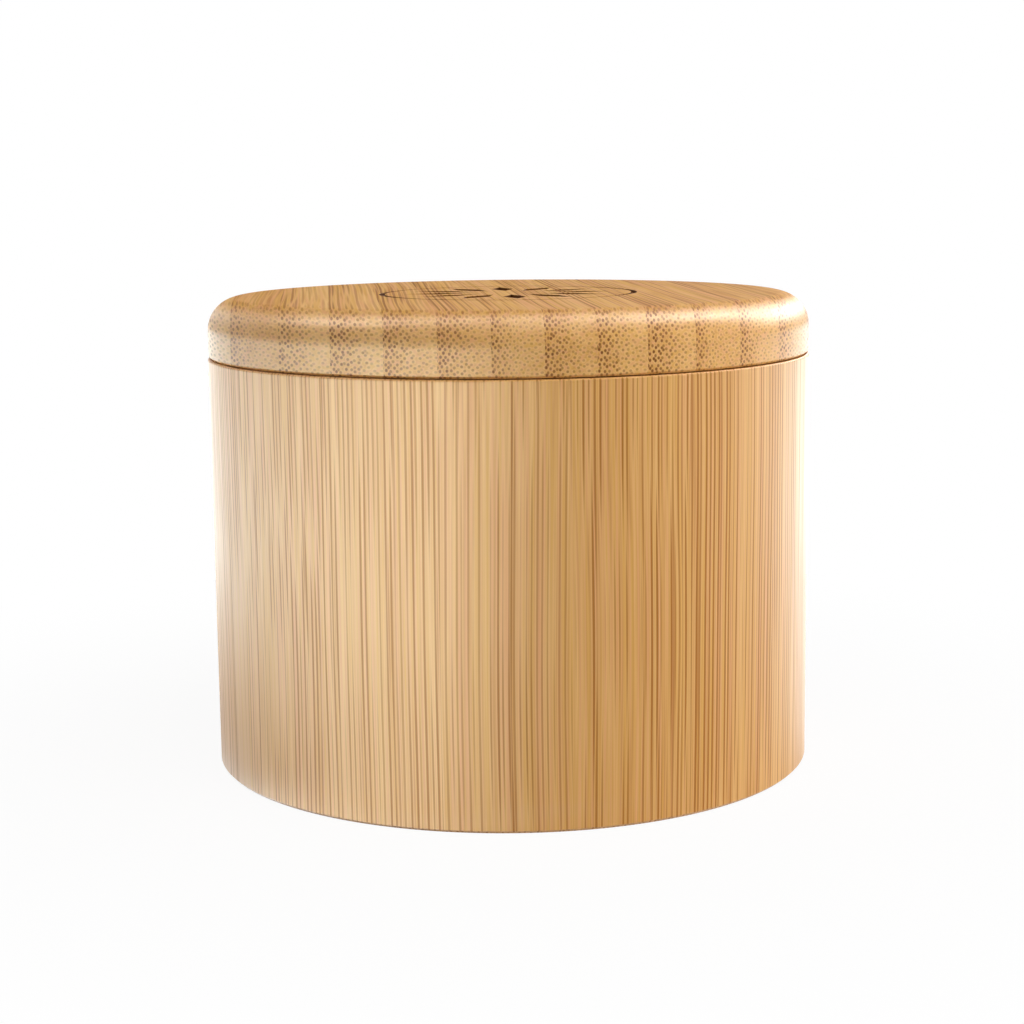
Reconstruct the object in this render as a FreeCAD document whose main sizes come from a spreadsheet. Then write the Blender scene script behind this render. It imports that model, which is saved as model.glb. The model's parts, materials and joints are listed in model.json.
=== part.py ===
# Seasoning jar turned from glued bamboo: a staved wall, a strip base and a flush lid on a hidden pivot pin.
# Millimetres. +Z is up, the origin is the centre of the foot, and the lid's strips run along Y.
import FreeCAD, Part
import enum
import os
import Sketcher

doc = FreeCAD.newDocument("SeasoningJar")

# Driving sizes, one cell of the sheet each
SIZES = {
    "outer_diameter": 90,
    "total_height": 70,
    "lid_thickness": 8.7,
    "lid_inset": 0.1,
    "seam_gap": 0.15,
    "wall_thickness": 9,
    "stave_count": 16,
    "base_thickness": 6,
    "base_ledge": 3,
    "base_clearance": 0.1,
    "base_strip_count": 11,
    "lid_strip_count": 14,
    "lid_left_edge": 4.1,
    "lid_right_edge": 2.5,
    "lid_crown_radius": 4.8,
    "lid_lip_chamfer": 0.3,
    "rim_outer_radius": 0.3,
    "rim_inner_radius": 0.8,
    "foot_chamfer": 0.4,
    "pin_diameter": 4,
    "pin_cover": 3,
    "pin_in_wall": 18,
    "pin_chamfer": 0.4,
    "pin_clearance": 0.05,
    "pin_end_gap": 0.5,
    "sleeve_wall": 0.8,
    "glue_clearance": 0.05,
    "washer_diameter": 6.6,
    "washer_thickness": 0.6,
    "washer_clearance": 0.15,
    "magnet_diameter": 5,
    "magnet_thickness": 3,
    "magnet_chamfer": 0.25,
    "petal_count": 12,
    "petal_start": 5,
    "petal_length": 11,
    "petal_width": 3.6,
    "border_radius": 18.5,
    "border_width": 0.9,
    "engraving_depth": 0.4,
}
sheet = doc.addObject("Spreadsheet::Sheet", "Sizes")
for row, (alias, number) in enumerate(SIZES.items(), start=1):
    sheet.set(f"A{row}", alias.replace("_", " "))
    sheet.set(f"B{row}", str(number))
    sheet.setAlias(f"B{row}", alias)
doc.recompute()

# Sizes that follow from the driving ones, as expressions on the sheet
OUTER_RADIUS = "Sizes.outer_diameter / 2"
CAVITY_RADIUS = f"({OUTER_RADIUS} - Sizes.wall_thickness)"
LEDGE_RADIUS = f"({CAVITY_RADIUS} + Sizes.base_ledge)"
BASE_RADIUS = f"({LEDGE_RADIUS} - Sizes.base_clearance)"
LID_RADIUS = f"({OUTER_RADIUS} - Sizes.lid_inset)"
LID_BOTTOM = "(Sizes.total_height - Sizes.lid_thickness)"
RIM_HEIGHT = f"({LID_BOTTOM} - Sizes.seam_gap)"
PIN_RADIUS = "Sizes.pin_diameter / 2"
PIN_IN_LID = "(Sizes.lid_thickness - Sizes.pin_cover)"
SLEEVE_BORE = f"({PIN_RADIUS} + Sizes.pin_clearance)"
SLEEVE_RADIUS = f"({SLEEVE_BORE} + Sizes.sleeve_wall)"
WASHER_SEAT = "(Sizes.washer_thickness - Sizes.seam_gap)"
SLEEVE_TOP = f"({RIM_HEIGHT} - {WASHER_SEAT})"
SLEEVE_LENGTH = f"(Sizes.pin_in_wall + Sizes.pin_end_gap - {WASHER_SEAT})"
MAGNET_RADIUS = "Sizes.magnet_diameter / 2"
PIN_HOLE = f"({PIN_RADIUS} + Sizes.glue_clearance)"
SLEEVE_HOLE = f"({SLEEVE_RADIUS} + Sizes.glue_clearance)"
WASHER_HOLE = "(Sizes.washer_diameter / 2 + Sizes.glue_clearance)"
MAGNET_HOLE = f"({MAGNET_RADIUS} + Sizes.glue_clearance)"

# Glue lines: the lid's strips are alike but for a narrower one at each edge, and the base's are all alike
LID_FULL_STRIPS = f"(2 * {LID_RADIUS} - Sizes.lid_left_edge - Sizes.lid_right_edge)"
LID_STRIP = f"({LID_FULL_STRIPS} / (Sizes.lid_strip_count - 2))"
FIRST_LID_LINE = f"(Sizes.lid_left_edge - {LID_RADIUS})"
BASE_STRIP = f"(2 * {BASE_RADIUS} / Sizes.base_strip_count)"
FIRST_BASE_LINE = f"({BASE_STRIP} - {BASE_RADIUS})"

# The pivot and the catch lie on the wall's middle circle, each in one of the lid's two middle strips
PIVOT_CIRCLE = f"({OUTER_RADIUS} - Sizes.wall_thickness / 2)"
PIVOT_X = f"({FIRST_LID_LINE} + (Sizes.lid_strip_count - 1) / 2 * {LID_STRIP})"
PIVOT_Y = f"sqrt({PIVOT_CIRCLE} ^ 2 - {PIVOT_X} ^ 2)"
CATCH_X = f"({PIVOT_X} - {LID_STRIP})"
CATCH_Y = f"-sqrt({PIVOT_CIRCLE} ^ 2 - {CATCH_X} ^ 2)"
PIVOT = (PIVOT_X, PIVOT_Y)
CATCH = (CATCH_X, CATCH_Y)

# Edges this close to a wanted ring are that ring
SAME_PLACE = 1e-4


class Sketched(enum.IntEnum):
    """A sketch's own numbers for the points of a shape and for its axes, which meet in the origin."""

    START = 1
    END = 2
    CENTRE = 3
    LEVEL_AXIS = -1
    UPRIGHT_AXIS = -2


def value(expression):
    """Number that an expression on the sheet comes to."""
    return float(sheet.evalExpression(expression))


def new_body(label):
    body = doc.addObject("PartDesign::Body", label)
    body.Label = label
    return body


def new_sketch(body, role, name, lift=None):
    """Sketch on one of the body's own origin planes, lifted off it by an expression."""
    sketch = body.newObject("Sketcher::SketchObject", name)
    plane = next(feature for feature in body.Origin.OriginFeatures if feature.Role == role)
    sketch.AttachmentSupport = [(plane, "")]
    sketch.MapMode = "FlatFace"
    if lift:
        sketch.setExpression("AttachmentOffset.Base.z", lift)
    return sketch


def bind(sketch, constraint, expression):
    index = sketch.addConstraint(constraint)
    sketch.setExpression(f"Constraints[{index}]", expression)


def pin_point(sketch, shape, point, across, along):
    """Hold a point of a sketched shape at two expressions, or on an axis where one of them is None."""
    origin = (Sketched.LEVEL_AXIS, Sketched.START)
    rules = (("DistanceX", across, Sketched.UPRIGHT_AXIS), ("DistanceY", along, Sketched.LEVEL_AXIS))
    for kind, expression, axis in rules:
        if expression is None:
            sketch.addConstraint(Sketcher.Constraint("PointOnObject", shape, point, axis))
        else:
            distance = Sketcher.Constraint(kind, *origin, shape, point, value(expression))
            bind(sketch, distance, expression)


def sketch_vector(across, along):
    return FreeCAD.Vector(value(across or "0"), value(along or "0"), 0)


def draw_circle(sketch, radius, across=None, along=None):
    shape = Part.Circle(sketch_vector(across, along), FreeCAD.Vector(0, 0, 1), value(radius))
    circle = sketch.addGeometry(shape)
    pin_point(sketch, circle, Sketched.CENTRE, across, along)
    bind(sketch, Sketcher.Constraint("Radius", circle, value(radius)), radius)


def draw_outline(sketch, corners):
    """Closed outline of straight lines through corners, each held at its own expressions."""
    ends = corners[1:] + corners[:1]
    for start, end in zip(corners, ends):
        sketch.addGeometry(Part.LineSegment(sketch_vector(*start), sketch_vector(*end)))
    for line, corner in enumerate(corners):
        following = (line + 1) % len(corners)
        joint = Sketcher.Constraint("Coincident", line, Sketched.END, following, Sketched.START)
        sketch.addConstraint(joint)
        pin_point(sketch, line, Sketched.START, *corner)


def pad_disc(body, radius, length, lift=None, bore=None):
    """Round plate of a body, with a bore through it where one is given."""
    sketch = new_sketch(body, "XY_Plane", f"{body.Label}_outline", lift)
    draw_circle(sketch, radius)
    if bore:
        draw_circle(sketch, bore)
    pad = body.newObject("PartDesign::Pad", f"{body.Label}_pad")
    pad.Profile = sketch
    pad.setExpression("Length", length)
    doc.recompute()


def break_edges(body, kind, measure, expression, rings):
    """Fillet or chamfer the body's circular edges at the given radii and heights."""
    names = []
    for number, edge in enumerate(body.Shape.Edges, start=1):
        if not isinstance(edge.Curve, Part.Circle):
            continue
        for radius, height in rings:
            off = max(abs(edge.Curve.Radius - value(radius)), abs(edge.Curve.Center.z - value(height)))
            if off < SAME_PLACE:
                names.append(f"Edge{number}")
    if len(names) != len(rings):
        raise RuntimeError(f"{body.Label}: {len(names)} edges found for {len(rings)} rings")
    unbroken = body.Tip
    feature = body.newObject(kind, f"{body.Label}_edge")
    feature.Base = (unbroken, names)
    feature.setExpression(measure, expression)
    doc.recompute()


def fillet_edges(body, radius, rings):
    break_edges(body, "PartDesign::Fillet", "Radius", radius, rings)


def chamfer_edges(body, width, rings):
    break_edges(body, "PartDesign::Chamfer", "Size", width, rings)


def cut_pocket(body, sketch, depth, upward):
    """Pocket from a sketch, up or down, that has to take material away."""
    before = body.Shape.Volume
    pocket = body.newObject("PartDesign::Pocket", f"{sketch.Name}_pocket")
    pocket.Profile = sketch
    pocket.Reversed = upward
    pocket.setExpression("Length", depth)
    doc.recompute()
    if body.Shape.Volume >= before:
        raise RuntimeError(f"{pocket.Name} cuts nothing")
    return pocket


def drill(body, name, radius, place, mouth, depth, upward):
    sketch = new_sketch(body, "XY_Plane", name, mouth)
    draw_circle(sketch, radius, *place)
    cut_pocket(body, sketch, depth, upward)


def place_body(body, place, lift):
    for axis, expression in zip("xyz", (*place, lift)):
        body.setExpression(f"Placement.Base.{axis}", expression)


def make_wall_blank():
    """Turned ring with a rabbet for the base, a hole for the sleeve and seats for the washer and rim magnet."""
    body = new_body("wall_blank")
    profile = new_sketch(body, "XZ_Plane", "wall_profile")
    corners = [
        (LEDGE_RADIUS, None),
        (OUTER_RADIUS, None),
        (OUTER_RADIUS, RIM_HEIGHT),
        (CAVITY_RADIUS, RIM_HEIGHT),
        (CAVITY_RADIUS, "Sizes.base_thickness"),
        (LEDGE_RADIUS, "Sizes.base_thickness"),
    ]
    draw_outline(profile, corners)
    turned = body.newObject("PartDesign::Revolution", "wall_turned")
    turned.Profile = profile
    turned.ReferenceAxis = (profile, ["V_Axis"])
    doc.recompute()
    fillet_edges(body, "Sizes.rim_outer_radius", [(OUTER_RADIUS, RIM_HEIGHT)])
    fillet_edges(body, "Sizes.rim_inner_radius", [(CAVITY_RADIUS, RIM_HEIGHT)])
    chamfer_edges(body, "Sizes.foot_chamfer", [(OUTER_RADIUS, "0")])
    drill(body, "washer_seat", WASHER_HOLE, PIVOT, RIM_HEIGHT, WASHER_SEAT, upward=False)
    drill(body, "sleeve_hole", SLEEVE_HOLE, PIVOT, SLEEVE_TOP, SLEEVE_LENGTH, upward=False)
    drill(body, "rim_magnet_seat", MAGNET_HOLE, CATCH, RIM_HEIGHT, "Sizes.magnet_thickness", upward=False)
    return body


def make_base_blank():
    body = new_body("base_blank")
    pad_disc(body, BASE_RADIUS, "Sizes.base_thickness")
    return body


def engrave_lid(body):
    """Ring of lozenge petals inside a thin border, sunk into the lid's top."""
    border = new_sketch(body, "XY_Plane", "border_ring", "Sizes.total_height")
    draw_circle(border, "Sizes.border_radius")
    draw_circle(border, "(Sizes.border_radius + Sizes.border_width)")
    cut_pocket(body, border, "Sizes.engraving_depth", upward=False)

    petal = new_sketch(body, "XY_Plane", "petal", "Sizes.total_height")
    middle = "(Sizes.petal_start + Sizes.petal_length / 2)"
    corners = [
        ("Sizes.petal_start", None),
        (middle, "-Sizes.petal_width / 2"),
        ("(Sizes.petal_start + Sizes.petal_length)", None),
        (middle, "Sizes.petal_width / 2"),
    ]
    draw_outline(petal, corners)
    first_petal = cut_pocket(body, petal, "Sizes.engraving_depth", upward=False)
    rosette = body.newObject("PartDesign::PolarPattern", "rosette")
    rosette.Originals = [first_petal]
    rosette.Axis = (petal, ["N_Axis"])
    rosette.Angle = 360
    rosette.setExpression("Occurrences", "Sizes.petal_count")
    body.Tip = rosette
    doc.recompute()


def make_lid_blank():
    """Turned lid with a rounded crown, drilled from below for the pin and the lid magnet."""
    body = new_body("lid_blank")
    pad_disc(body, LID_RADIUS, "Sizes.lid_thickness", lift=LID_BOTTOM)
    fillet_edges(body, "Sizes.lid_crown_radius", [(LID_RADIUS, "Sizes.total_height")])
    chamfer_edges(body, "Sizes.lid_lip_chamfer", [(LID_RADIUS, LID_BOTTOM)])
    drill(body, "pin_hole", PIN_HOLE, PIVOT, LID_BOTTOM, PIN_IN_LID, upward=True)
    drill(body, "lid_magnet_seat", MAGNET_HOLE, CATCH, LID_BOTTOM, "Sizes.magnet_thickness", upward=True)
    engrave_lid(body)
    return body


def part_of(blank, cutter, label):
    piece = doc.addObject("Part::Common", label)
    piece.Label = label
    piece.Base = blank
    piece.Tool = cutter
    return piece


def saw_strips(blank, name, first_line, pitch, count):
    """Saw a round blank along its glue lines into strips that run along Y, left to right."""
    lines = [f"({first_line} + {number} * {pitch})" for number in range(count - 1)]
    starts = ["-Sizes.outer_diameter"] + lines
    ends = lines + ["Sizes.outer_diameter"]
    strips = []
    for number, (start, end) in enumerate(zip(starts, ends), start=1):
        board = doc.addObject("Part::Box", f"{name}_board_{number:02d}")
        board.setExpression("Length", f"{end} - {start}")
        board.setExpression("Width", "2 * Sizes.outer_diameter")
        board.setExpression("Height", "2 * Sizes.total_height")
        board.setExpression("Placement.Base.x", start)
        board.setExpression("Placement.Base.y", "-Sizes.outer_diameter")
        board.setExpression("Placement.Base.z", "-Sizes.total_height / 2")
        strips.append(part_of(blank, board, f"{name}_strip_{number:02d}"))
    return strips


def split_staves(blank, count):
    """Split the wall along its glue lines into staves, the first one centred on the pivot."""
    staves = []
    for number in range(count):
        wedge = doc.addObject("Part::Cylinder", f"stave_wedge_{number + 1:02d}")
        wedge.setExpression("Radius", "Sizes.outer_diameter")
        wedge.setExpression("Height", "Sizes.total_height")
        wedge.setExpression("Angle", "360 / Sizes.stave_count")
        turn = f"acos({PIVOT_X} / {PIVOT_CIRCLE}) + {number - 0.5} * 360 deg / Sizes.stave_count"
        wedge.setExpression("Placement.Rotation.Angle", turn)
        staves.append(part_of(blank, wedge, f"wall_stave_{number + 1:02d}"))
    return staves


def make_pivot_pin():
    body = new_body("pivot_pin")
    length = f"(Sizes.pin_in_wall + Sizes.seam_gap + {PIN_IN_LID})"
    pad_disc(body, PIN_RADIUS, length)
    chamfer_edges(body, "Sizes.pin_chamfer", [(PIN_RADIUS, "0"), (PIN_RADIUS, length)])
    place_body(body, PIVOT, f"{RIM_HEIGHT} - Sizes.pin_in_wall")
    return body


def make_pivot_sleeve():
    body = new_body("pivot_sleeve")
    pad_disc(body, SLEEVE_RADIUS, SLEEVE_LENGTH, bore=SLEEVE_BORE)
    place_body(body, PIVOT, f"{SLEEVE_TOP} - {SLEEVE_LENGTH}")
    return body


def make_pivot_washer():
    body = new_body("pivot_washer")
    bore = f"({PIN_RADIUS} + Sizes.washer_clearance)"
    pad_disc(body, "Sizes.washer_diameter / 2", "Sizes.washer_thickness", bore=bore)
    place_body(body, PIVOT, SLEEVE_TOP)
    return body


def make_magnet(label, lift):
    body = new_body(label)
    pad_disc(body, MAGNET_RADIUS, "Sizes.magnet_thickness")
    rings = [(MAGNET_RADIUS, "0"), (MAGNET_RADIUS, "Sizes.magnet_thickness")]
    chamfer_edges(body, "Sizes.magnet_chamfer", rings)
    place_body(body, CATCH, lift)
    return body


pieces = saw_strips(make_lid_blank(), "lid", FIRST_LID_LINE, LID_STRIP, sheet.lid_strip_count)
pieces += split_staves(make_wall_blank(), sheet.stave_count)
pieces += saw_strips(make_base_blank(), "base", FIRST_BASE_LINE, BASE_STRIP, sheet.base_strip_count)
pieces += [
    make_pivot_pin(),
    make_pivot_sleeve(),
    make_pivot_washer(),
    make_magnet("rim_magnet", f"{RIM_HEIGHT} - Sizes.magnet_thickness"),
    make_magnet("lid_magnet", LID_BOTTOM),
]
doc.recompute()

for item in doc.Objects:
    if "Invalid" in item.State or "Error" in item.State:
        raise RuntimeError(f"{item.Label} failed: {item.State}")
for piece in pieces:
    if piece.Shape.isNull() or not piece.Shape.isValid() or len(piece.Shape.Solids) != 1:
        raise RuntimeError(f"{piece.Label} is not one valid solid")

os.makedirs("parts", exist_ok=True)
for piece in pieces:
    piece.Shape.exportStep(f"parts/{piece.Label}.step")
print(f"{len(pieces)} pieces written")
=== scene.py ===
"""Looks of the bamboo seasoning jar: grain, lacquer, metal, floor, lights and camera.

Lengths are in metres, or in millimetres where a name ends in _MM. The finishes work in millimetres.
"""
import json
import math

import bpy
from mathutils import Matrix, Vector


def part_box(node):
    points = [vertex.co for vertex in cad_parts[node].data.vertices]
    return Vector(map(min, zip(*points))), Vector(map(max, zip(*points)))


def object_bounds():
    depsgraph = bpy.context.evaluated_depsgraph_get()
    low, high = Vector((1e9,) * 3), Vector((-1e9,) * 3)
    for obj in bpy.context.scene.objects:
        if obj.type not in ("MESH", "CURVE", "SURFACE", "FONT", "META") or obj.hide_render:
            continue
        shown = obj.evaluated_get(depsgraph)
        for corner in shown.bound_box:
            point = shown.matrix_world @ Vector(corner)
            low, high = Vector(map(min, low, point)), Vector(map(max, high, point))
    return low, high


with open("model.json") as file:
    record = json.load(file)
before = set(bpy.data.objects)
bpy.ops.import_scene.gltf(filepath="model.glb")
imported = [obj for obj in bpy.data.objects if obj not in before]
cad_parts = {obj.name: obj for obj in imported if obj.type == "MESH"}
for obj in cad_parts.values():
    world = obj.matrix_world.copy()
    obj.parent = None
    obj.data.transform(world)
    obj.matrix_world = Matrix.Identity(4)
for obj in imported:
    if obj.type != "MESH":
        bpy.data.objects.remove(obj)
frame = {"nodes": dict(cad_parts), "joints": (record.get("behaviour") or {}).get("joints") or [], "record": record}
cad_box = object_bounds()
nodes = frame["nodes"]
scene = bpy.context.scene

MM = 1000.0
WHITE = (1.0, 1.0, 1.0, 1.0)


def nodes_named(start):
    return [name for name in sorted(nodes) if name.startswith(start)]


# Glue lines, lid and wall, read from the frame
staves = nodes_named("wall_stave")
lid_low, lid_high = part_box(nodes_named("lid_strip")[1])
base_low, base_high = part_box(nodes_named("base_strip")[1])
FIRST_LID_LINE_MM = lid_low.x * MM
LID_STRIP_MM = (lid_high.x - lid_low.x) * MM
FIRST_BASE_LINE_MM = base_low.x * MM
BASE_STRIP_MM = (base_high.x - base_low.x) * MM
LID_TOP_MM = cad_box[1].z * MM
OUTER_RADIUS_MM = (cad_box[1].x - cad_box[0].x) / 2 * MM
STAVE_TURN = 2 * math.pi / len(staves)
pivot = Vector(frame["joints"][0]["pos_m"])
FIRST_STAVE_TURN = math.atan2(pivot.y, pivot.x) - STAVE_TURN / 2


class Value:
    """A socket in a finish. Arithmetic on it adds Math nodes."""

    def __init__(self, finish, socket):
        self.finish = finish
        self.socket = socket

    def out(self, name):
        """Another output of the same node."""
        return Value(self.finish, self.socket.node.outputs[name])

    def math(self, operation, *others):
        sockets = dict(enumerate((self, *others)))
        return self.finish.add("ShaderNodeMath", {"operation": operation}, sockets)

    def __add__(self, other):
        return self.math("ADD", other)

    def __radd__(self, other):
        return self.math("ADD", other)

    def __sub__(self, other):
        return self.math("SUBTRACT", other)

    def __rsub__(self, other):
        return self.finish.add("ShaderNodeMath", {"operation": "SUBTRACT"}, {0: other, 1: self})

    def __mul__(self, other):
        return self.math("MULTIPLY", other)

    def __rmul__(self, other):
        return self.math("MULTIPLY", other)

    def __truediv__(self, other):
        return self.math("DIVIDE", other)

    def rise(self, low, high):
        """0 up to low, 1 from high on, smooth between."""
        sockets = {"Value": self, "From Min": low, "From Max": high}
        return self.finish.add("ShaderNodeMapRange", {"interpolation_type": "SMOOTHSTEP"}, sockets)

    def fall(self, low, high):
        """1 up to low, 0 from high on, smooth between."""
        return 1 - self.rise(low, high)


class Finish:
    """A material whose nodes are added one at a time."""

    def __init__(self, name):
        self.material = bpy.data.materials.new(name)
        self.begin(self.material)

    def begin(self, source):
        """Take the node tree of a material, a lamp or the world, and empty it."""
        source.use_nodes = True
        self.tree = source.node_tree
        self.tree.nodes.clear()

    def add(self, kind, settings, sockets, output=0):
        """A node of a kind, with its settings made first and then its sockets set or linked."""
        node = self.tree.nodes.new(kind)
        for name, setting in settings.items():
            if name == "stops":
                self.set_stops(node.color_ramp, setting)
            else:
                setattr(node, name, setting)
        for name, entry in sockets.items():
            if isinstance(entry, Value):
                self.tree.links.new(entry.socket, node.inputs[name])
            else:
                node.inputs[name].default_value = entry
        found = node.outputs[output] if node.outputs else None
        return Value(self, found)

    @staticmethod
    def set_stops(ramp, stops):
        while len(ramp.elements) < len(stops):
            ramp.elements.new(1.0)
        for element, (place, colour) in zip(ramp.elements, stops):
            element.position = place
            element.color = (*colour, 1.0)

    def vector(self, across=0.0, along=0.0, up=0.0):
        return self.add("ShaderNodeCombineXYZ", {}, {"X": across, "Y": along, "Z": up})

    def split(self, vector):
        """The three values of a vector."""
        parts = self.add("ShaderNodeSeparateXYZ", {}, {0: vector})
        return parts, parts.out("Y"), parts.out("Z")

    def place_mm(self):
        """Place on the part, in millimetres of its own frame, as three values."""
        place = self.add("ShaderNodeTexCoord", {}, {}, "Object")
        return self.split(self.add("ShaderNodeVectorMath", {"operation": "SCALE"}, {0: place, "Scale": MM}))

    def slope(self):
        """1 where the surface faces up, 0 where it stands upright and -1 where it faces down."""
        return self.split(self.add("ShaderNodeTexCoord", {}, {}, "Normal"))[2]

    def shown(self):
        """1 for rays from the camera, from a gloss or through a clear piece, and 0 for others."""
        rays = self.add("ShaderNodeLightPath", {}, {}, "Is Camera Ray")
        direct_or_gloss = rays.math("MAXIMUM", rays.out("Is Glossy Ray"))
        return direct_or_gloss.math("MAXIMUM", rays.out("Is Transmission Ray"))

    def noise(self, vector, scale=1.0, detail=2.0, dimensions="3D"):
        sockets = {"Vector": vector, "Scale": scale, "Detail": detail}
        return self.add("ShaderNodeTexNoise", {"noise_dimensions": dimensions}, sockets)

    def chance(self, number, seed):
        """A random value from 0 to 1 for each whole number."""
        return self.add("ShaderNodeTexWhiteNoise", {"noise_dimensions": "1D"}, {"W": number + seed})

    def cells(self, vector, randomness):
        """Distance to the nearest of a scatter of points about one unit apart."""
        settings = {"voronoi_dimensions": "2D", "feature": "F1"}
        sockets = {"Vector": vector, "Scale": 1.0, "Randomness": randomness}
        return self.add("ShaderNodeTexVoronoi", settings, sockets)

    def blend(self, share, first, second):
        """Colour between two colours."""
        sockets = {0: share}
        for index, colour in ((6, first), (7, second)):
            sockets[index] = colour if isinstance(colour, Value) else (*colour, 1.0)
        return self.add("ShaderNodeMix", {"data_type": "RGBA"}, sockets, 2)

    def bump(self, height, depth, strength=1.0):
        """Normal of a surface whose height varies over a depth in metres."""
        sockets = {"Height": height, "Distance": depth, "Strength": strength}
        return self.add("ShaderNodeBump", {}, sockets)

    def close(self, sockets):
        """Make the surface from a shader's sockets."""
        shader = self.add("ShaderNodeBsdfPrincipled", {}, sockets)
        self.add("ShaderNodeOutputMaterial", {}, {"Surface": shader})
        return self.material


# Colours of the bamboo's soft tissue, from its pale inner side to its deep skin side, and of its bands
PALE_TISSUE = (0.830, 0.490, 0.175)
WARM_TISSUE = (0.680, 0.345, 0.094)
DEEP_TISSUE = (0.470, 0.185, 0.042)
ROSY_TISSUE = (0.770, 0.375, 0.155)
GOLDEN_TISSUE = (0.720, 0.380, 0.075)
TISSUE_STOPS = [(0.0, PALE_TISSUE), (0.55, WARM_TISSUE), (1.0, DEEP_TISSUE)]

# Colours of its bundles as dots and as lines, and of the scorched engraving
BUNDLE_BROWN = (0.200, 0.066, 0.012)
FIBRE_BROWN = (0.400, 0.145, 0.016)
SCORCH_BROWN = (0.120, 0.038, 0.011)

# Spacing of the bundles and how far they stray along a strip
LID_BUNDLE_PITCH_MM = 0.64
WALL_BUNDLE_PITCH_MM = 0.54
LEAN_MM = 1.4
LEAN_RATE = 0.012
SINK_MM = 1.3
SINK_RATE = 0.013

# Where each strip's pattern starts, so that no two strips are alike
LEAN_STEP = 7.31
SINK_STEP = 3.77
SINK_START = 40.0
SCATTER_STEP = 17.3
BASE_STRIP_START = 31

# Scatter of the bundles, and their edges and the rings of painted highlight round them, as shares of their width
BUNDLE_SCATTER = 0.55
SLANT = math.sqrt(0.5)
RIND_WIDENING = 0.085
BUNDLE_CORE = 0.55
BUNDLE_RIM = 1.40
HALO_CORE = 1.5
HALO_RIM = 2.3
WEAKEST_BUNDLE = 0.60
BUNDLE_VARIETY = 0.60

# Streaks drawn out along the fibres, and what they do to the tissue's colour
FIBRE_STREAKS = {"across_rate": 1.7, "along_rate": 0.030, "detail": 3.0}
BAND_STREAKS = {"across_rate": 0.28, "along_rate": 0.010, "detail": 2.0}
BLUSH_STREAKS = {"across_rate": 1.2, "along_rate": 0.018, "detail": 1.0, "start": 31.0}
NOISE_MIDDLE = 0.5
FIBRE_CONTRAST = 1.05
BAND_CONTRAST = 0.7
# Painted highlight: how much the ring round each bundle is paled
PAINTED_HALO_HIGHLIGHT = 0.26
ROSY_FROM = (0.50, 0.70)
GOLDEN_BELOW = (0.30, 0.50)
BLUSH_SHARE = 0.6
FIBRE_RELIEF = 0.35


class Grain:
    """Fibre bundles of the strips of one blank, seen on any cut through them.

    across and depth lie in a strip's end and along runs with its fibres, in millimetres. rind goes from 1
    where the bundles crowd near the bamboo's skin to 0 in its soft inner side. strip is the strip's number.
    """

    def __init__(self, finish, across, depth, along, strip, rind, pitch, width, faint):
        self.finish = finish
        self.strip = strip
        self.along = along
        lean = self.stray(along * LEAN_RATE, strip * LEAN_STEP)
        sink = self.stray(along * SINK_RATE, strip * SINK_STEP + SINK_START)
        self.right = (across + lean * LEAN_MM) / pitch
        self.below = (depth + sink * SINK_MM) / pitch
        start = strip * SCATTER_STEP
        ends = finish.vector((self.right + self.below) * SLANT + start, (self.right - self.below) * SLANT)
        distance = finish.cells(ends, BUNDLE_SCATTER)
        own = finish.split(distance.out("Color"))[0]
        size = width + rind * RIND_WIDENING
        bundle = distance.fall(size * BUNDLE_CORE, size * BUNDLE_RIM)
        strength = (faint + rind * (1 - faint)) * (WEAKEST_BUNDLE + own * BUNDLE_VARIETY)
        self.cover = (bundle * strength).math("MINIMUM", 1.0)
        # Ring round each bundle that is paled as a painted highlight
        self.halo = distance.fall(size * HALO_CORE, size * HALO_RIM) - bundle
        self.fibre = self.streaks(**FIBRE_STREAKS)
        self.bands = self.streaks(**BAND_STREAKS)
        self.blush = self.streaks(**BLUSH_STREAKS)

    def stray(self, along, start):
        """How far a strip's bundles lie off their line, as a share from about -0.5 to 0.5."""
        place = self.finish.vector(along, start)
        return self.finish.noise(place, detail=1.0, dimensions="2D") - NOISE_MIDDLE

    def streaks(self, across_rate, along_rate, detail, start=0.0):
        right = self.right * across_rate + start
        place = self.finish.vector(right, self.below * across_rate, self.along * along_rate)
        return self.finish.noise(place, detail=detail)

    def tone(self, low, high, seed):
        """A value for the whole strip, between two limits."""
        return self.finish.chance(self.strip, seed) * (high - low) + low

    def colour(self, warmth, brown, depth):
        """Tissue of a warmth from 0 to 1 with bundles of a brown in it, dark by depth."""
        fine = (self.fibre - NOISE_MIDDLE) * FIBRE_CONTRAST
        broad = (self.bands - NOISE_MIDDLE) * BAND_CONTRAST
        # The ring round each bundle is paled as a painted highlight
        share = warmth + fine + broad - self.halo * PAINTED_HALO_HIGHLIGHT
        tissue = self.finish.add("ShaderNodeValToRGB", {"stops": TISSUE_STOPS}, {0: share})
        tissue = self.finish.blend(self.blush.rise(*ROSY_FROM) * BLUSH_SHARE, tissue, ROSY_TISSUE)
        tissue = self.finish.blend(self.blush.fall(*GOLDEN_BELOW) * BLUSH_SHARE, tissue, GOLDEN_TISSUE)
        return self.finish.blend(self.cover * depth, tissue, brown)

    def relief(self):
        return self.fibre * FIBRE_RELIEF - self.cover


# Lacquer over the bundles, and the depth of the grain under it
BUNDLE_ROUGHNESS = 0.10
BUNDLE_THIRST = 0.40
GRAIN_DEPTH = 0.00005
GRAIN_STRENGTH = 0.5


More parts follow.
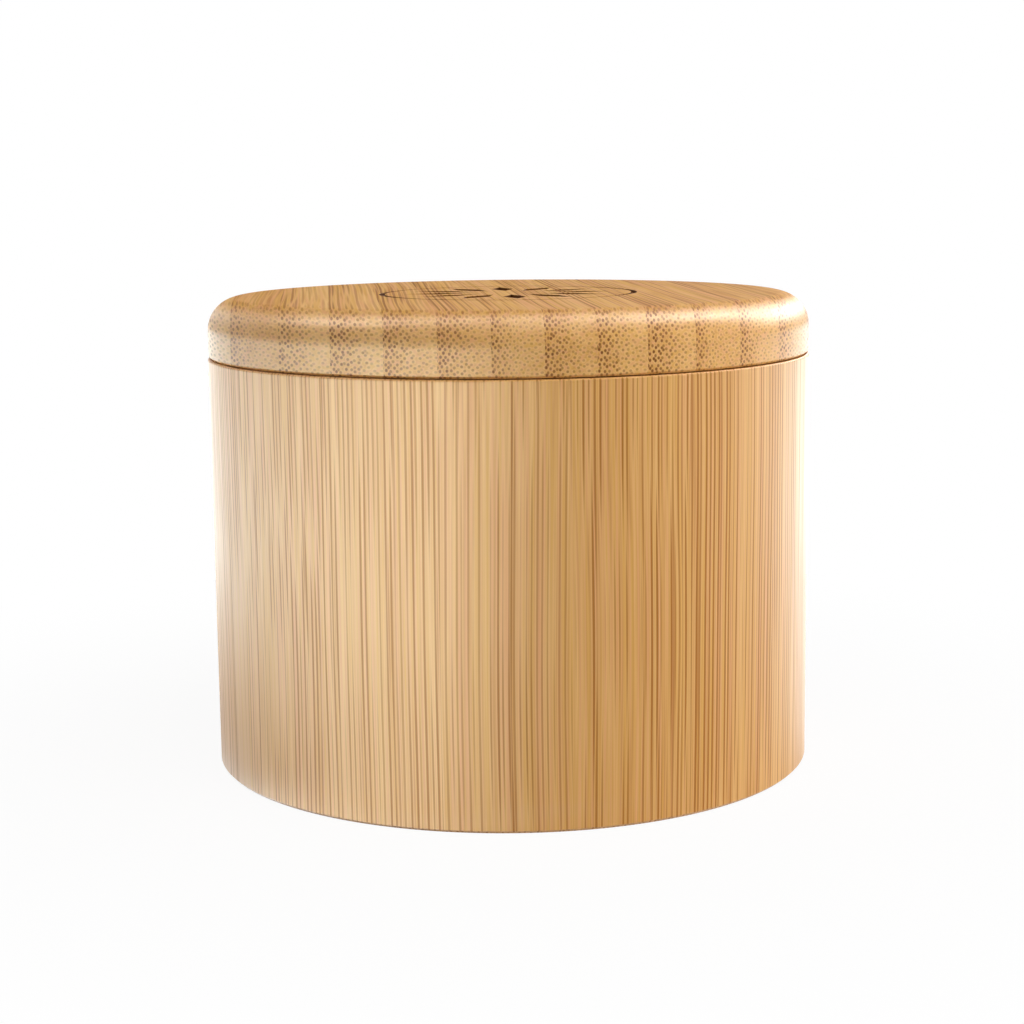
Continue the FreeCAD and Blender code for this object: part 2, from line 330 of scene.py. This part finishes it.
def lacquered(finish, grain, colour, roughness, coat, satin, shine):
    """Thin lacquer that the open bundles drink in.

    satin is the roughness of its coat and shine the specular level of the wood under it.
    """
    sockets = {"Base Color": colour, "Roughness": roughness + grain.cover * BUNDLE_ROUGHNESS}
    sockets["Coat Weight"] = (1 - grain.cover * BUNDLE_THIRST) * coat
    sockets["Normal"] = finish.bump(grain.relief(), GRAIN_DEPTH, GRAIN_STRENGTH)
    return finish.close({**sockets, "Coat Roughness": satin, "Specular IOR Level": shine})


# Strips: where the skin side starts across a strip, and how much closer its bundles lie there
RIND_START = -0.15
CROWDING = 0.28


def strip_of(across, first_line, width):
    """Number of the strip at a place and how far across it the place lies, from 0 to 1."""
    run = (across - first_line) / width
    return run.math("FLOOR"), run.math("FRACT")


def crowded(strip, place, width):
    """Place across the blank, with each strip's bundles closer together at its skin side."""
    return (strip + place * (1 + CROWDING) - place * place * CROWDING) * width


# Lid: reach of the skin side in each strip, tones, slopes of its crown and depths of the scorched engraving
LID_RIND_LEAST = 0.42
LID_RIND_SPREAD = 0.75
LID_RIND_SEED = 3.5
LID_TONES = {"low": 0.24, "high": 0.58, "seed": 18.5}
LID_RIND_WARMTH = 0.32
# The top face is warmer and darker: partly its side-grain tone, partly painted shade that holds back the overhead
# key's light
LID_TOP_TONE_AND_SHADE = 0.18
LID_LINE_DEPTH = 0.60
LID_DOT_GAIN = 0.38
SIDE_SLOPES = (0.55, 0.97)
CROWN_SLOPES = (0.15, 0.60)
SIDE_COAT = 0.50
CROWN_COAT = 0.45
TOP_ROUGHNESS = 0.80
SIDE_SMOOTHING = 0.38
SCORCH_FROM_MM = (0.02, 0.12)
SCORCH_DOWN_TO_MM = (1.0, 1.2)
ENGRAVED_RADIUS_MM = (22.0, 22.5)
SCORCH_SHARE = 0.9


def lid_bamboo():
    """Edge-glued strips along Y, with dotted ends, fibre lines on the top and a scorched engraving."""
    finish = Finish("lid_bamboo")
    across, along, up = finish.place_mm()
    strip, place = strip_of(across, FIRST_LID_LINE_MM, LID_STRIP_MM)
    reach = LID_RIND_LEAST + finish.chance(strip, LID_RIND_SEED) * LID_RIND_SPREAD
    rind = place.fall(RIND_START, reach)
    slope = finish.slope()
    upright = slope.fall(*SIDE_SLOPES)
    crown = slope.rise(*CROWN_SLOPES) * upright
    spread = crowded(strip, place, LID_STRIP_MM)
    grain = Grain(finish, spread, up, along, strip, rind, LID_BUNDLE_PITCH_MM, width=0.265, faint=0.34)
    # The top's shift is partly its grain's tone and partly painted shade against the overhead light
    warmth = grain.tone(**LID_TONES) + rind * LID_RIND_WARMTH + (1 - upright) * LID_TOP_TONE_AND_SHADE
    colour = grain.colour(warmth, BUNDLE_BROWN, LID_LINE_DEPTH + upright * LID_DOT_GAIN)
    radius = (across * across + along * along).math("SQRT")
    sunk = LID_TOP_MM - up
    engraved = sunk.rise(*SCORCH_FROM_MM) * sunk.fall(*SCORCH_DOWN_TO_MM)
    scorch = engraved * radius.fall(*ENGRAVED_RADIUS_MM)
    colour = finish.blend(scorch * SCORCH_SHARE, colour, SCORCH_BROWN)
    roughness = TOP_ROUGHNESS - upright * SIDE_SMOOTHING
    coat = (upright * SIDE_COAT + crown * CROWN_COAT) * (1 - scorch)
    return lacquered(finish, grain, colour, roughness, coat, satin=0.34, shine=0.05)


# Wall: patches of skin side and inner side on the staves, and tones
PATCH_AROUND_RATE = 0.11
PATCH_UP_RATE = 0.012
PATCH_STAVE_STEP = 5.3
WALL_RIND = (0.12, 0.68)
WALL_TONES = {"low": 0.36, "high": 0.52, "seed": 6.5}
WALL_RIND_WARMTH = 0.10
WALL_LINE_DEPTH = 0.86


def wall_bamboo():
    """Upright staves, with fibre lines on the faces and dots on the rim and foot."""
    finish = Finish("wall_bamboo")
    east, north, up = finish.place_mm()
    turns = (north.math("ARCTAN2", east) - FIRST_STAVE_TURN) / STAVE_TURN + len(staves)
    stave = turns.math("FLOOR").math("MODULO", float(len(staves)))
    radius = (east * east + north * north).math("SQRT")
    around = turns * (STAVE_TURN * OUTER_RADIUS_MM)
    place = finish.vector(around * PATCH_AROUND_RATE, up * PATCH_UP_RATE, stave * PATCH_STAVE_STEP)
    rind = finish.noise(place, detail=1.0).rise(*WALL_RIND)
    grain = Grain(finish, around, radius, up, stave, rind, WALL_BUNDLE_PITCH_MM, width=0.235, faint=0.82)
    warmth = grain.tone(**WALL_TONES) + rind * WALL_RIND_WARMTH
    colour = grain.colour(warmth, FIBRE_BROWN, WALL_LINE_DEPTH)
    return lacquered(finish, grain, colour, roughness=0.42, coat=0.75, satin=0.40, shine=0.05)


# Base: reach and share of the skin side in its strips, and tones
BASE_RIND_REACH = 0.9
BASE_RIND_SHARE = 0.6
BASE_TONES = {"low": 0.25, "high": 0.55, "seed": 8.5}
BASE_RIND_WARMTH = 0.15
BASE_LINE_DEPTH = 0.80


def base_bamboo():
    """Strips along Y of the plate in the jar's foot."""
    finish = Finish("base_bamboo")
    across, along, up = finish.place_mm()
    strip, place = strip_of(across, FIRST_BASE_LINE_MM, BASE_STRIP_MM)
    rind = place.fall(RIND_START, BASE_RIND_REACH) * BASE_RIND_SHARE
    spread = crowded(strip, place, BASE_STRIP_MM)
    number = strip + BASE_STRIP_START
    grain = Grain(finish, spread, up, along, number, rind, LID_BUNDLE_PITCH_MM, width=0.250, faint=0.50)
    warmth = grain.tone(**BASE_TONES) + rind * BASE_RIND_WARMTH
    colour = grain.colour(warmth, FIBRE_BROWN, BASE_LINE_DEPTH)
    return lacquered(finish, grain, colour, roughness=0.46, coat=0.3, satin=0.30, shine=0.25)


# Pivot and magnets: bright and tarnished colours, and the marks of turning
METALS = {
    "pin_steel": {"colour": (0.62, 0.61, 0.59), "dull": (0.45, 0.44, 0.42), "roughness": 0.28},
    "sleeve_brass": {"colour": (0.80, 0.58, 0.24), "dull": (0.52, 0.34, 0.13), "roughness": 0.26},
    "magnet_nickel": {"colour": (0.24, 0.235, 0.22), "dull": (0.17, 0.165, 0.155), "roughness": 0.52},
}
MARK_ROUND_RATE = 0.3
MARK_UP_RATE = 14.0
MARK_ROUGHNESS = 0.15
MARK_DEPTH = 0.00001
TARNISH_FROM = (0.35, 0.75)


def turned_metal(name, colour, dull, roughness):
    """Metal with fine marks round its upright axis and a little tarnish."""
    finish = Finish(name)
    across, along, up = finish.place_mm()
    place = finish.vector(across * MARK_ROUND_RATE, along * MARK_ROUND_RATE, up * MARK_UP_RATE)
    marks = finish.noise(place, detail=3.0)
    tarnish = finish.noise(finish.vector(across, along, up), scale=0.5, detail=3.0)
    shade = finish.blend(tarnish.rise(*TARNISH_FROM), colour, dull)
    sockets = {"Base Color": shade, "Metallic": 1.0, "Roughness": roughness + marks * MARK_ROUGHNESS}
    sockets["Normal"] = finish.bump(marks, MARK_DEPTH)
    return finish.close(sockets)


NYLON_PALE = (0.78, 0.74, 0.64)
NYLON_DARK = (0.66, 0.62, 0.52)
NYLON_ROUGHNESS = 0.45
NYLON_ROUGHNESS_SPREAD = 0.15


def washer_nylon():
    """Natural nylon, slightly clouded."""
    finish = Finish("washer_nylon")
    across, along, up = finish.place_mm()
    cloud = finish.noise(finish.vector(across, along, up), scale=1.4, detail=3.0)
    colour = finish.blend(cloud, NYLON_PALE, NYLON_DARK)
    roughness = NYLON_ROUGHNESS + cloud * NYLON_ROUGHNESS_SPREAD
    return finish.close({"Base Color": colour, "Roughness": roughness})


finishes = {
    "lid_bamboo": lid_bamboo(),
    "wall_bamboo": wall_bamboo(),
    "base_bamboo": base_bamboo(),
    "washer_nylon": washer_nylon(),
}
for metal, look in METALS.items():
    finishes[metal] = turned_metal(metal, **look)
for subpart in frame["record"]["subparts"]:
    for slot in nodes[subpart["node"]].material_slots:
        slot.material = finishes[subpart["material_slot"]]


# Floor: grey for the light that it throws back, nearly white where it shows, with a faint shadow by the jar
FLOOR_SIZE = 6.0
FLOOR_GREY = (0.60, 0.60, 0.60)
FLOOR_PALE = (0.95, 0.95, 0.95)
FLOOR_WHITENESS = 0.92
SHADOW_REACH_MM = (50.0, 150.0)


def pale_floor():
    """White floor that takes the jar's shadow and meets the white surround further out."""
    finish = Finish("pale_floor")
    across, along, _ = finish.place_mm()
    distance = (across * across + along * along).math("SQRT")
    shown = finish.shown()
    shade = finish.blend(shown, FLOOR_GREY, FLOOR_PALE)
    matte_sockets = {"Base Color": shade, "Roughness": 1.0, "Specular IOR Level": 0.0}
    matte = finish.add("ShaderNodeBsdfPrincipled", {}, matte_sockets)
    white = finish.add("ShaderNodeEmission", {}, {"Color": WHITE, "Strength": 1.0})
    share = shown * (FLOOR_WHITENESS + distance.rise(*SHADOW_REACH_MM) * (1 - FLOOR_WHITENESS))
    surface = finish.add("ShaderNodeMixShader", {}, {0: share, 1: matte, 2: white})
    finish.add("ShaderNodeOutputMaterial", {}, {"Surface": surface})
    return finish.material


floor_mesh = bpy.data.meshes.new("floor")
half = FLOOR_SIZE / 2
corners = [(-half, -half, 0.0), (half, -half, 0.0), (half, half, 0.0), (-half, half, 0.0)]
floor_mesh.from_pydata(corners, [], [(0, 1, 2, 3)])
floor = bpy.data.objects.new("floor", floor_mesh)
floor.data.materials.append(pale_floor())
scene.collection.objects.link(floor)


class Glow(Finish):
    """Node tree of the world or of a lamp, handled like a material's."""

    def __init__(self, source):
        self.begin(source)


# Surround: white where it shows, dimmer as a light
AMBIENT_LEVEL = 0.32
world = bpy.data.worlds.new("surround")
scene.world = world
surround = Glow(world)
level = surround.shown() * (1.0 - AMBIENT_LEVEL) + AMBIENT_LEVEL
sky = surround.add("ShaderNodeBackground", {}, {"Color": WHITE, "Strength": level})
surround.add("ShaderNodeOutputWorld", {}, {"Surface": sky})

MIDDLE = Vector((0.0, 0.0, cad_box[1].z / 2))


def towards(azimuth, elevation, distance):
    """Step of a length in a direction, azimuth 0 being to the front, the -Y side."""
    turn = math.radians(azimuth)
    lift = math.radians(elevation)
    flat = distance * math.cos(lift)
    return Vector((flat * math.sin(turn), -flat * math.cos(turn), distance * math.sin(lift)))


def holder_of(lamp):
    """Object in the scene that holds a lamp, out of the camera's sight."""
    holder = bpy.data.objects.new(lamp.name, lamp)
    holder.visible_camera = False
    scene.collection.objects.link(holder)
    return holder


def softbox(name, azimuth, elevation, distance, width, height, power):
    """Rectangular lamp that points at the jar's middle."""
    lamp = bpy.data.lights.new(name, "AREA")
    lamp.shape = "RECTANGLE"
    lamp.size = width
    lamp.size_y = height
    lamp.energy = power
    holder = holder_of(lamp)
    holder.location = towards(azimuth, elevation, distance)
    holder.rotation_euler = (MIDDLE - holder.location).to_track_quat("-Z", "Y").to_euler()
    return holder


# Gleam of the floor: its sheet, its limits by azimuth in degrees, by distance from the jar's axis
# and by the steepness of a ray, and its levels within them
TABLE_GLOW_SIZE = 2.4
TABLE_GLOW_LIFT = 0.0003
TABLE_GLOW_LEVEL = 16.0
COOL_WHITE = (0.76, 0.92, 1.0)
FRONT_AZIMUTHS = (-28.0, 4.0)
BACK_AZIMUTHS = (-135.0, -55.0)
BACK_LOSS = 0.86
CORNER_AZIMUTHS = (-110.0, -40.0)
CORNER_REACH = (0.06, 0.20)
CORNER_LOSS = 0.9
FOOT_AZIMUTHS = (-75.0, -35.0)
FOOT_REACH = (0.050, 0.100)
FOOT_LOSS = 0.74
RIGHT_AZIMUTHS = (45.0, 125.0)
RIGHT_LEVEL = 0.17
OUTER_REACH = (0.05, 0.30)
INNER_LEVEL = 0.6
OUTER_GAIN = 0.6
STEEP_RAYS = (0.42, 0.66)
STEEP_LEVEL = 0.15


def gleam(glow):
    """Strength of the floor's gleam at a place, for a ray that leaves it."""
    east, north, _ = glow.split(glow.add("ShaderNodeNewGeometry", {}, {}, "Position"))
    azimuth = east.math("ARCTAN2", north * -1.0) * math.degrees(1.0)
    distance = (east * east + north * north).math("SQRT")
    corner = azimuth.fall(*CORNER_AZIMUTHS) * distance.fall(*CORNER_REACH)
    foot = azimuth.fall(*FOOT_AZIMUTHS) * distance.fall(*FOOT_REACH)
    left = azimuth.fall(*FRONT_AZIMUTHS) * (1 - azimuth.fall(*BACK_AZIMUTHS) * BACK_LOSS)
    left = left * (1 - corner * CORNER_LOSS) * (1 - foot * FOOT_LOSS)
    right = azimuth.rise(*RIGHT_AZIMUTHS) * RIGHT_LEVEL
    share = left.math("MAXIMUM", right) * (INNER_LEVEL + distance.rise(*OUTER_REACH) * OUTER_GAIN)
    steepness = glow.split(glow.add("ShaderNodeNewGeometry", {}, {}, "Incoming"))[2].math("ABSOLUTE")
    return share * (STEEP_LEVEL + steepness.fall(*STEEP_RAYS) * (1 - STEEP_LEVEL))


def table_glow():
    """Gleam of the floor for the lacquer's sheen: brightest at the jar's left and at a low angle."""
    lamp = bpy.data.lights.new("table_glow", "AREA")
    lamp.shape = "SQUARE"
    lamp.size = TABLE_GLOW_SIZE
    lamp.energy = TABLE_GLOW_LEVEL * math.pi * TABLE_GLOW_SIZE ** 2
    lamp.color = COOL_WHITE
    glow = Glow(lamp)
    light = glow.add("ShaderNodeEmission", {}, {"Strength": gleam(glow)})
    glow.add("ShaderNodeOutputLight", {}, {"Surface": light})
    holder = holder_of(lamp)
    holder.location = (0.0, 0.0, TABLE_GLOW_LIFT)
    holder.rotation_euler = (math.pi, 0.0, 0.0)
    return holder


# Lamps that only light the surfaces, and panels that only show as gloss
matte_lamps = [
    softbox("overhead_key", azimuth=18, elevation=66, distance=0.80, width=0.50, height=0.50, power=2.55),
    softbox("right_window", azimuth=74, elevation=14, distance=0.60, width=0.60, height=0.28, power=1.85),
    softbox("left_fill", azimuth=-95, elevation=20, distance=0.65, width=0.40, height=0.40, power=0.1),
]
for lamp_holder in matte_lamps:
    lamp_holder.visible_glossy = False
gloss_panels = [
    softbox("crown_panel", azimuth=180, elevation=78, distance=0.70, width=1.30, height=0.45, power=11.0),
    softbox("back_window", azimuth=132, elevation=42, distance=0.60, width=0.56, height=0.60, power=6.0),
    table_glow(),
]
for panel in gloss_panels:
    panel.visible_diffuse = False

# Camera at the photograph's viewpoint
CAMERA_AZIMUTH = -5.0
CAMERA_ELEVATION = 9.496
CAMERA_DISTANCE = 0.3143
CAMERA_ROLL = math.radians(-0.637)
NEAREST_SEEN = 0.01
FOCAL_PIXELS = 2050.9
FRAME_PIXELS = 1024.0
SENSOR_MM = 36.0
MIDDLE_PIXEL = (510.4, 521.9)

camera_data = bpy.data.cameras.new("camera")
camera_data.sensor_width = SENSOR_MM
camera_data.lens = FOCAL_PIXELS / FRAME_PIXELS * SENSOR_MM
camera_data.clip_start = NEAREST_SEEN
camera = bpy.data.objects.new("camera", camera_data)
viewpoint = MIDDLE + towards(CAMERA_AZIMUTH, CAMERA_ELEVATION, CAMERA_DISTANCE)
look_at_middle = (MIDDLE - viewpoint).to_track_quat("-Z", "Y").to_matrix().to_4x4()
aside = math.atan((MIDDLE_PIXEL[0] - FRAME_PIXELS / 2) / FOCAL_PIXELS)
lower = math.atan((MIDDLE_PIXEL[1] - FRAME_PIXELS / 2) / FOCAL_PIXELS)
aim_turn = Matrix.Rotation(aside, 4, "Y") @ Matrix.Rotation(lower, 4, "X")
roll = Matrix.Rotation(CAMERA_ROLL, 4, "Z")
camera.matrix_world = Matrix.Translation(viewpoint) @ look_at_middle @ aim_turn @ roll
scene.collection.objects.link(camera)
scene.camera = camera
scene.view_settings.view_transform = "Standard"
